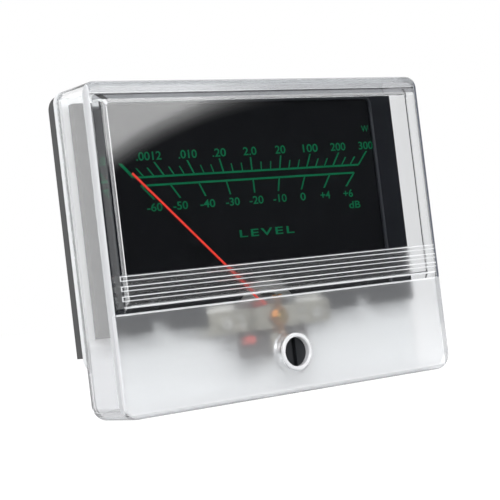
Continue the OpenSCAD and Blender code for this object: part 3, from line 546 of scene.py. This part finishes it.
def coverShape():
    # a welded copy of the CAD cover, its flats joined, its sharp edges eased
    c = coverSettings
    mesh = cadNodes["front_cover"].data.copy()
    mesh.name = "clearCover"
    shape = bmesh.new()
    shape.from_mesh(mesh)
    bmesh.ops.remove_doubles(shape, verts=shape.verts, dist=c["weld"])
    bmesh.ops.dissolve_limit(shape, angle_limit=c["flat"], verts=shape.verts, edges=shape.edges)
    bmesh.ops.bevel(shape, geom=sharpEdges(shape, c["sharp"]), offset=c["easing"],
                    segments=c["easingSteps"], profile=0.5, affect="EDGES", clamp_overlap=True)
    for f in shape.faces:
        f.smooth = True
    for e in sharpEdges(shape, c["sharp"]):
        e.smooth = False
    shape.to_mesh(mesh)
    shape.free()
    return mesh


def evenNormals(mesh):
    # flat faces keep their own direction, and the rounding between them turns smoothly
    holder = bpy.data.objects.new("holder", mesh)
    bpy.context.scene.collection.objects.link(holder)
    weighted = holder.modifiers.new("weighted", "WEIGHTED_NORMAL")
    weighted.mode = "FACE_AREA"
    weighted.weight = 100
    weighted.keep_sharp = True
    bpy.context.view_layer.update()
    evaluated = holder.evaluated_get(bpy.context.evaluated_depsgraph_get())
    result = bpy.data.meshes.new_from_object(evaluated)
    name = mesh.name
    bpy.data.objects.remove(holder)
    bpy.data.meshes.remove(mesh)
    result.name = name
    return result


coverMesh = evenNormals(coverShape())
cover = addPiece("clearCover", coverMesh, clearAcrylic, "case")
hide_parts("front_cover")
print("cover:", len(coverMesh.polygons), "faces")

dialSettings = {             # mm
    "printFace": face + 12.5 - 0.03,   # along Y, just proud of the dial
    "thick": 0.02,
    "upperLine": (73.1, -45.9, 45.9, 0.62),   # height, from, to, weight
    "lowerLine": (70.45, -43.6, 43.6, 0.62),
    "upperHalf": 50.3,       # the outermost upper marks, at their tops
    "lowerHalf": 43.56,      # the outermost lower marks, at the line
    "upperTop": 77.7,
    "minorTop": 76.0,
    "lowerFoot": 65.93,
    "weight": 0.55,          # width of the marks
    "firstWeight": 0.95,     # the upper scale's first mark is bold
    "minorWeight": 0.42,
}


def slabMesh(name, outlines):
    # flat shapes in X and Z, given in mm, with the ink's thickness
    near = dialSettings["printFace"] * mm
    far = (dialSettings["printFace"] + dialSettings["thick"]) * mm
    shape = bmesh.new()
    for outline in outlines:
        front = [shape.verts.new((x * mm, near, z * mm)) for x, z in outline]
        back = [shape.verts.new((x * mm, far, z * mm)) for x, z in outline]
        shape.faces.new(front)
        shape.faces.new(list(reversed(back)))
        for i in range(len(outline)):
            j = (i + 1) % len(outline)
            shape.faces.new((front[j], front[i], back[i], back[j]))
    bmesh.ops.recalc_face_normals(shape, faces=shape.faces)
    mesh = bpy.data.meshes.new(name)
    shape.to_mesh(mesh)
    shape.free()
    return mesh


def tickTree():
    # marks cut level at both ends, which all point at the pointer's axis
    made = ShapeTree("dialTicks", count="Int", halfSpan="Float", lineHeight="Float", foot="Float",
                     top="Float", weight="Float", firstWeight="Float", leaveOut="Int", start="Int",
                     axisHeight="Float", depth="Float", thick="Float", ink="Material")
    given = made.given
    index = made.node("GeometryNodeInputIndex")
    place = made.node("GeometryNodeInputPosition")
    step = made.math("DIVIDE", given("halfSpan") * 2.0, given("count") - 1.0)
    points = made.node("GeometryNodeMeshLine", {"mode": "OFFSET"},
                       {"Count": given("count"), "Offset": made.vector(step, 0.0, 0.0),
                        "Start Location": made.vector(0.0 - given("halfSpan"), 0.0, 0.0)})
    kept = made.node("GeometryNodeStoreNamedAttribute", {"data_type": "FLOAT", "domain": "POINT"},
                     {"Geometry": points, "Name": "across", "Value": made.part(place, "X")})
    bold = made.math("LESS_THAN", index, 0.5)
    wide = bold * (given("firstWeight") - given("weight")) + given("weight")
    block = made.node("GeometryNodeMeshCube", None,
                      {"Size": made.vector(1.0, given("thick"), given("top") - given("foot"))})
    chosen = made.math("MODULO", index + given("start"), given("leaveOut"))
    ticks = made.node("GeometryNodeInstanceOnPoints", None,
                      {"Points": kept, "Selection": chosen, "Instance": block,
                       "Scale": made.vector(wide, 1.0, 1.0)})
    solid = made.node("GeometryNodeRealizeInstances", None, {0: ticks})
    across = made.node("GeometryNodeInputNamedAttribute", {"data_type": "FLOAT"}, {"Name": "across"})
    slope = made.math("DIVIDE", across, given("lineHeight") - given("axisHeight"))
    broad = made.math("SQRT", slope * slope + 1.0, 0.0)
    high = made.part(place, "Z") + (given("top") + given("foot")) * 0.5
    leaned = (made.part(place, "X") - across) * broad + slope * (high - given("axisHeight"))
    position = made.vector(leaned, made.part(place, "Y") + given("depth"), high)
    drawn = made.node("GeometryNodeSetPosition", None, {"Geometry": solid, "Position": position})
    made.close(drawn, given("ink"))
    return made


def dialMarks():
    d = dialSettings
    upper, lower = d["upperLine"][0], d["lowerLine"][0]
    span = d["upperHalf"] * (upper - pivot) / (d["upperTop"] - pivot)
    common = {"axisHeight": pivot * mm, "depth": (d["printFace"] + d["thick"] / 2) * mm,
              "thick": d["thick"] * mm, "ink": greenInk}
    every = {"leaveOut": 1000, "start": 1}      # leaves none out
    between = {"leaveOut": 3, "start": 0}       # leaves out where the long marks stand
    sets = [
        {"count": 9, "halfSpan": span, "lineHeight": upper, "foot": upper, "top": d["upperTop"],
         "weight": d["weight"], "firstWeight": d["firstWeight"], **every},
        {"count": 25, "halfSpan": span, "lineHeight": upper, "foot": upper, "top": d["minorTop"],
         "weight": d["minorWeight"], "firstWeight": d["minorWeight"], **between},
        {"count": 9, "halfSpan": d["lowerHalf"], "lineHeight": lower, "foot": d["lowerFoot"],
         "top": lower, "weight": d["weight"], "firstWeight": d["weight"], **every},
    ]
    tree = tickTree()
    shape = bmesh.new()
    for sizes in sets:
        lengths = {key: value * mm for key, value in sizes.items() if isinstance(value, float)}
        shape.from_mesh(tree.make("ticks", **{**sizes, **lengths, **common}))
    lines = []
    for z, left, right, weight in (d["upperLine"], d["lowerLine"]):
        low, top = z - weight / 2, z + weight / 2
        lines.append([(left, low), (right, low), (right, top), (left, top)])
    shape.from_mesh(slabMesh("lines", lines))
    mesh = bpy.data.meshes.new("dialMarks")
    shape.to_mesh(mesh)
    shape.free()
    return mesh


addPiece("dialMarks", dialMarks(), greenInk, "case")

beadSettings = {             # mm
    "halfWidth": 53.9,       # middle of the bead beside the dial
    "foot": 31.0,
    "top": 96.3,
    "corner": 2.4,
    "wide": 1.1,
    "depth": face + 12.1,    # its middle, a little behind the carrier's front
}


def beadTree():
    # a half-sunk round bead up one side, over the top and down the other side
    made = ShapeTree("dialBead", halfWidth="Float", foot="Float", top="Float", corner="Float",
                     wide="Float", depth="Float", finish="Material")
    given = made.given
    index = made.node("GeometryNodeInputIndex")

    def over(limit):
        return made.math("GREATER_THAN", index, limit)

    line = made.node("GeometryNodeMeshLine", None, {"Count": 4})
    across = (over(1.5) * 2.0 - 1.0) * given("halfWidth")
    high = over(0.5) * (1.0 - over(2.5)) * (given("top") - given("foot")) + given("foot")
    path = made.node("GeometryNodeSetPosition", None,
                     {"Geometry": line, "Position": made.vector(across, given("depth"), high)})
    spine = made.node("GeometryNodeFilletCurve", {"mode": "POLY"},
                      {"Curve": made.node("GeometryNodeMeshToCurve", None, {0: path}),
                       "Count": 8, "Radius": given("corner")})
    ring = made.node("GeometryNodeCurvePrimitiveCircle", None,
                     {"Resolution": 16, "Radius": given("wide") * 0.5})
    bead = made.node("GeometryNodeCurveToMesh", None,
                     {"Curve": spine, "Profile Curve": ring, "Fill Caps": True})
    made.close(bead, given("finish"))
    return made


def smoothed(mesh, weld=0.000002, sharp=math.radians(40.0)):
    # joined at its seams, with smooth shading up to the sharp angle
    shape = bmesh.new()
    shape.from_mesh(mesh)
    bmesh.ops.remove_doubles(shape, verts=shape.verts, dist=weld)
    bmesh.ops.recalc_face_normals(shape, faces=shape.faces)
    for f in shape.faces:
        f.smooth = True
    for e in shape.edges:
        e.smooth = len(e.link_faces) != 2 or e.calc_face_angle(0) < sharp
    shape.to_mesh(mesh)
    shape.free()
    return mesh


beadMesh = beadTree().make("dialBead", finish=beadBlack,
                           **{key: value * mm for key, value in beadSettings.items()})
addPiece("dialBead", smoothed(beadMesh), beadBlack, "case")
print("bead made:", len(beadMesh.polygons), "faces")

wording = [   # plain numbers, with their box in mm: text, left, right, foot, top
    (".0012", -44.2, -34.8, 78.3, 81.0), (".010", -28.3, -21.2, 78.3, 81.0),
    (".20", -15.1, -9.7, 78.3, 81.0), ("2.0", -2.7, 2.7, 78.3, 81.0),
    ("20", 10.5, 14.8, 78.3, 81.0), ("100", 22.3, 28.7, 78.3, 81.0),
    ("200", 34.4, 41.0, 78.3, 81.0), ("300", 47.0, 53.5, 78.3, 81.0),
    ("-60", -42.3, -36.6, 62.2, 64.8), ("-50", -32.5, -26.9, 62.2, 64.8),
    ("-40", -22.1, -16.3, 62.2, 64.8), ("-30", -12.0, -6.5, 62.2, 64.8),
    ("-20", -2.5, 3.2, 62.2, 64.8), ("-10", 7.3, 12.9, 62.2, 64.8),
    ("0", 18.8, 21.0, 62.2, 64.8), ("+4", 27.5, 31.7, 62.2, 64.8), ("+6", 37.6, 41.8, 62.2, 64.8),
    ("W", 49.2, 52.4, 84.4, 86.6), ("dB", 39.6, 44.6, 58.3, 60.7), ("LEVEL", -8.0, 14.5, 51.7, 54.1),
]

wordSettings = {
    "size": 0.01,            # metres, before the word is fitted to its box
    "bolder": 0.00012,       # metres
    "steps": 5,              # of a curve between two of its points
    "spacing": {"LEVEL": 1.25},
}


def wordMesh(text, left, right, foot, top):
    # one word as flat faces that fill its box
    curve = bpy.data.curves.new("word", "FONT")
    curve.body = text
    curve.size = wordSettings["size"]
    curve.resolution_u = wordSettings["steps"]
    curve.offset = wordSettings["bolder"]
    curve.space_character = wordSettings["spacing"].get(text, 1.0)
    holder = bpy.data.objects.new("word", curve)
    bpy.context.scene.collection.objects.link(holder)
    bpy.context.view_layer.update()
    evaluated = holder.evaluated_get(bpy.context.evaluated_depsgraph_get())
    mesh = bpy.data.meshes.new_from_object(evaluated)
    bpy.data.objects.remove(holder)
    bpy.data.curves.remove(curve)
    xs = [v.co.x for v in mesh.vertices]
    ys = [v.co.y for v in mesh.vertices]
    wide, tall = max(xs) - min(xs), max(ys) - min(ys)
    for v in mesh.vertices:
        x = (left + (v.co.x - min(xs)) / wide * (right - left)) * mm
        z = (foot + (v.co.y - min(ys)) / tall * (top - foot)) * mm
        v.co = (x, dialSettings["printFace"] * mm, z)
    return mesh


def dialNumbers():
    shape = bmesh.new()
    for word in wording:
        shape.from_mesh(wordMesh(*word))
    bmesh.ops.recalc_face_normals(shape, faces=shape.faces)
    flip = [f for f in shape.faces if f.normal.y > 0]
    bmesh.ops.reverse_faces(shape, faces=flip)
    mesh = bpy.data.meshes.new("dialNumbers")
    shape.to_mesh(mesh)
    shape.free()
    return mesh


addPiece("dialNumbers", dialNumbers(), greenInk, "case")
print("dial printed")

cameraSettings = {
    "place": (-0.30402, -0.39802, 0.03192),
    "right": (0.79797774, -0.59081559, -0.11903137),
    "up": (0.07710504, -0.09579943, 0.99240984),
    "back": (-0.59773434, -0.80109887, -0.03089096),
    "lens": 111.07,          # mm
    "sensor": 36.0,
    "clip": (0.01, 50.0),    # metres
}


def addCamera():
    c = cameraSettings
    data = bpy.data.cameras.new("photoCamera")
    data.lens = c["lens"]
    data.sensor_width = c["sensor"]
    data.clip_start, data.clip_end = c["clip"]
    thing = bpy.data.objects.new("photoCamera", data)
    bpy.context.scene.collection.objects.link(thing)
    turn = Matrix((c["right"], c["up"], c["back"])).transposed().to_4x4()
    thing.matrix_world = Matrix.Translation(c["place"]) @ turn
    bpy.context.scene.camera = thing


def addLamp(name, place, target, width, height, power):
    data = bpy.data.lights.new(name, "AREA")
    data.shape = "RECTANGLE"
    data.size, data.size_y = width, height
    data.energy = power
    thing = bpy.data.objects.new(name, data)
    bpy.context.scene.collection.objects.link(thing)
    thing.location = place
    thing.rotation_mode = "QUATERNION"
    thing.rotation_quaternion = (Vector(target) - Vector(place)).to_track_quat("-Z", "Y")
    thing.visible_glossy = False
    return thing


worldSettings = {
    "white": (1, 1, 1, 1),
    "grey": (0.22, 0.225, 0.235, 1),   # the studio on the camera's side
    "ground": (0.13, 0.13, 0.135, 1),
    "lit": (0.96, 0.98, 1, 1),         # what lights the part, and how strongly
    "litPower": 0.62,
    "leftPower": 1.35,                 # added where the glass looks back to the left
    "greyDeep": (-0.35, 0.05),         # parts of a direction, from where to where each fades in
    "groundHigh": (-0.1, -0.4),
    "groundDeep": (0.6, 0.3),
    "leftWide": (-0.3, -0.45),
    "leftDeep": (0.5, 0.7),
}


def backdropWorld():
    # white where the camera or the glass looks back, grey on the camera's side
    w = worldSettings
    world = bpy.data.worlds.new("studio")
    bpy.context.scene.world = world
    world.use_nodes = True
    made = NodeMaker(world.node_tree)
    way = made.node("ShaderNodeTexCoord", out="Generated")

    def toward(letter, limits):
        part = made.node("ShaderNodeSeparateXYZ", None, {0: way}, out=letter)
        return made.rise(part, *limits)

    def light(colour, power):
        return made.node("ShaderNodeBackground", None, {"Color": colour, "Strength": power})

    behind = toward("Y", w["greyDeep"])
    below = toward("Z", w["groundHigh"]) * toward("Y", w["groundDeep"])
    leftLight = toward("X", w["leftWide"]) * toward("Y", w["leftDeep"])
    mirrored = made.mix(below, made.mix(behind, w["grey"], w["white"]), w["ground"])
    gloss = light(mirrored, leftLight * w["leftPower"] + 1.0)
    shiny = made.math("MAXIMUM", made.ray("Is Glossy Ray"), made.ray("Is Transmission Ray"))
    unseen = made.blend(shiny, light(w["lit"], w["litPower"]), gloss)
    made.node("ShaderNodeOutputWorld", None,
              {"Surface": made.blend(made.ray("Is Camera Ray"), unseen, light(w["white"], 1.0))})


def stagePlane(name, half, material, seen):
    corners = [(x * half, y * half, 0) for x, y in ((-1, -1), (1, -1), (1, 1), (-1, 1))]
    mesh = bpy.data.meshes.new(name)
    mesh.from_pydata(corners, [], [(0, 1, 2, 3)])
    thing = bpy.data.objects.new(name, mesh)
    bpy.context.scene.collection.objects.link(thing)
    dress(thing, material)
    thing.visible_camera, thing.visible_diffuse, shine = seen
    thing.visible_glossy = thing.visible_transmission = shine
    return thing


floorSettings = {
    "half": 4,               # metres
    "dark": (0.90, 0.90, 0.90),
    "light": (0.92, 0.92, 0.92),
    "rough": 0.9,
    "glow": 1.12,            # keeps the ground white before the camera
    "glowShare": 0.82,
}


def floorFinish():
    f = floorSettings
    made = Finish("paleFloor", Roughness=f["rough"])
    made.feed("Base Color", made.tones(made.noise(3.0), f["dark"], f["light"]))
    glow = made.node("ShaderNodeEmission", None, {"Color": (1, 1, 1, 1), "Strength": f["glow"]})
    made.surface(made.blend(made.ray("Is Camera Ray") * f["glowShare"], made.principled, glow))
    return made.material


cardSettings = {             # places in the photograph's pixels from its middle
    "away": 1.5,             # metres from the mirrored camera
    "mirror": face - 1.8,    # mm along Y, the window's front
    "picture": 500,          # pixels across the photograph
    "half": 340,
    "fadeFrom": 185,         # from here to its own edge the card fades into the studio's grey
    "centre": (71, -190),    # the dark round's middle, and its radius
    "radius": 350,
    "soft": 14,
    # brightness across the round's soft edge
    "edge": [(0, 0), (0.17, 0.05), (0.33, 0.14), (0.5, 0.33), (0.67, 0.52), (0.83, 0.84), (1, 1)],
    "leftEnds": (40, -60),   # the light beyond the round is at the upper left alone
    "leftLeast": 0.04,
    "upEnds": (-60, 40),
    "power": 4.6,
    "dark": 0.012,
}


def cardPixel():
    # the width in metres of one of the photograph's pixels on the card
    picture = cardSettings["away"] * cameraSettings["sensor"] / cameraSettings["lens"]
    return picture / cardSettings["picture"]


def cardFinish():
    # dark inside a large round, bright beyond its upper left edge
    c, unit = cardSettings, cardPixel()
    made = Finish("reflectionCard")
    place = made.node("ShaderNodeVectorMath", {"operation": "SUBTRACT"},
                      {0: made.at(), 1: (c["centre"][0] * unit, c["centre"][1] * unit, 0)})
    away = made.node("ShaderNodeVectorMath", {"operation": "LENGTH"}, {0: place}, out="Value")
    edge = (away * (1 / unit) - (c["radius"] - c["soft"])) * (1 / (2 * c["soft"]))
    bright = made.ramp(edge, *[(at, (v, v, v, 1)) for at, v in c["edge"]])
    left = made.rise(made.axis("X"), *[end * unit for end in c["leftEnds"]], c["leftLeast"])
    up = made.rise(made.axis("Y"), *[end * unit for end in c["upEnds"]])
    square = made.math("MAXIMUM", made.math("ABSOLUTE", made.axis("X"), 0.0),
                       made.math("ABSOLUTE", made.axis("Y"), 0.0))
    fade = made.rise(square, c["fadeFrom"] * unit, c["half"] * unit, way="SMOOTHSTEP")
    made.surface(made.node("ShaderNodeEmission", None, {
        "Color": made.mix(fade, bright, worldSettings["grey"]),
        "Strength": (left * up * c["power"] + c["dark"]) * (1.0 - fade) + fade}))
    return made.material


def addReflectionCard():
    # stands where the window mirrors it into the camera
    c, view = cardSettings, cameraSettings

    def mirrored(v):
        return Vector((v[0], -v[1], v[2]))

    start = mirrored(view["place"]) + Vector((0, 2 * c["mirror"] * mm, 0))
    right, up, forward = mirrored(view["right"]), mirrored(view["up"]), -mirrored(view["back"])
    card = stagePlane("reflectionCard", c["half"] * cardPixel(), cardFinish(), (False, False, True))
    turn = Matrix((right, up, -forward)).transposed().to_4x4()
    card.matrix_world = Matrix.Translation(start + forward * c["away"]) @ turn
    card.visible_shadow = False


lampSettings = {             # place, what it faces, width, height, power
    "keyLamp": ((-0.75, -0.85, 0.75), (0, 0, 0.05), 0.8, 0.8, 11.3),
    "fillLamp": ((0.6, -1.0, 0.2), (0, 0, 0.04), 0.7, 0.4, 5.5),
    "topLamp": ((0, 0.1, 1.1), (0, 0, 0.05), 0.9, 0.9, 5.0),
}

addCamera()
backdropWorld()
stagePlane("floor", floorSettings["half"], floorFinish(), (True, True, False))
addReflectionCard()
lamps = {name: addLamp(name, *values) for name, values in lampSettings.items()}
lamps["fillLamp"].visible_transmission = False    # the frosting would show it as a haze
bpy.context.scene.view_settings.view_transform = "Standard"
print("stage set")
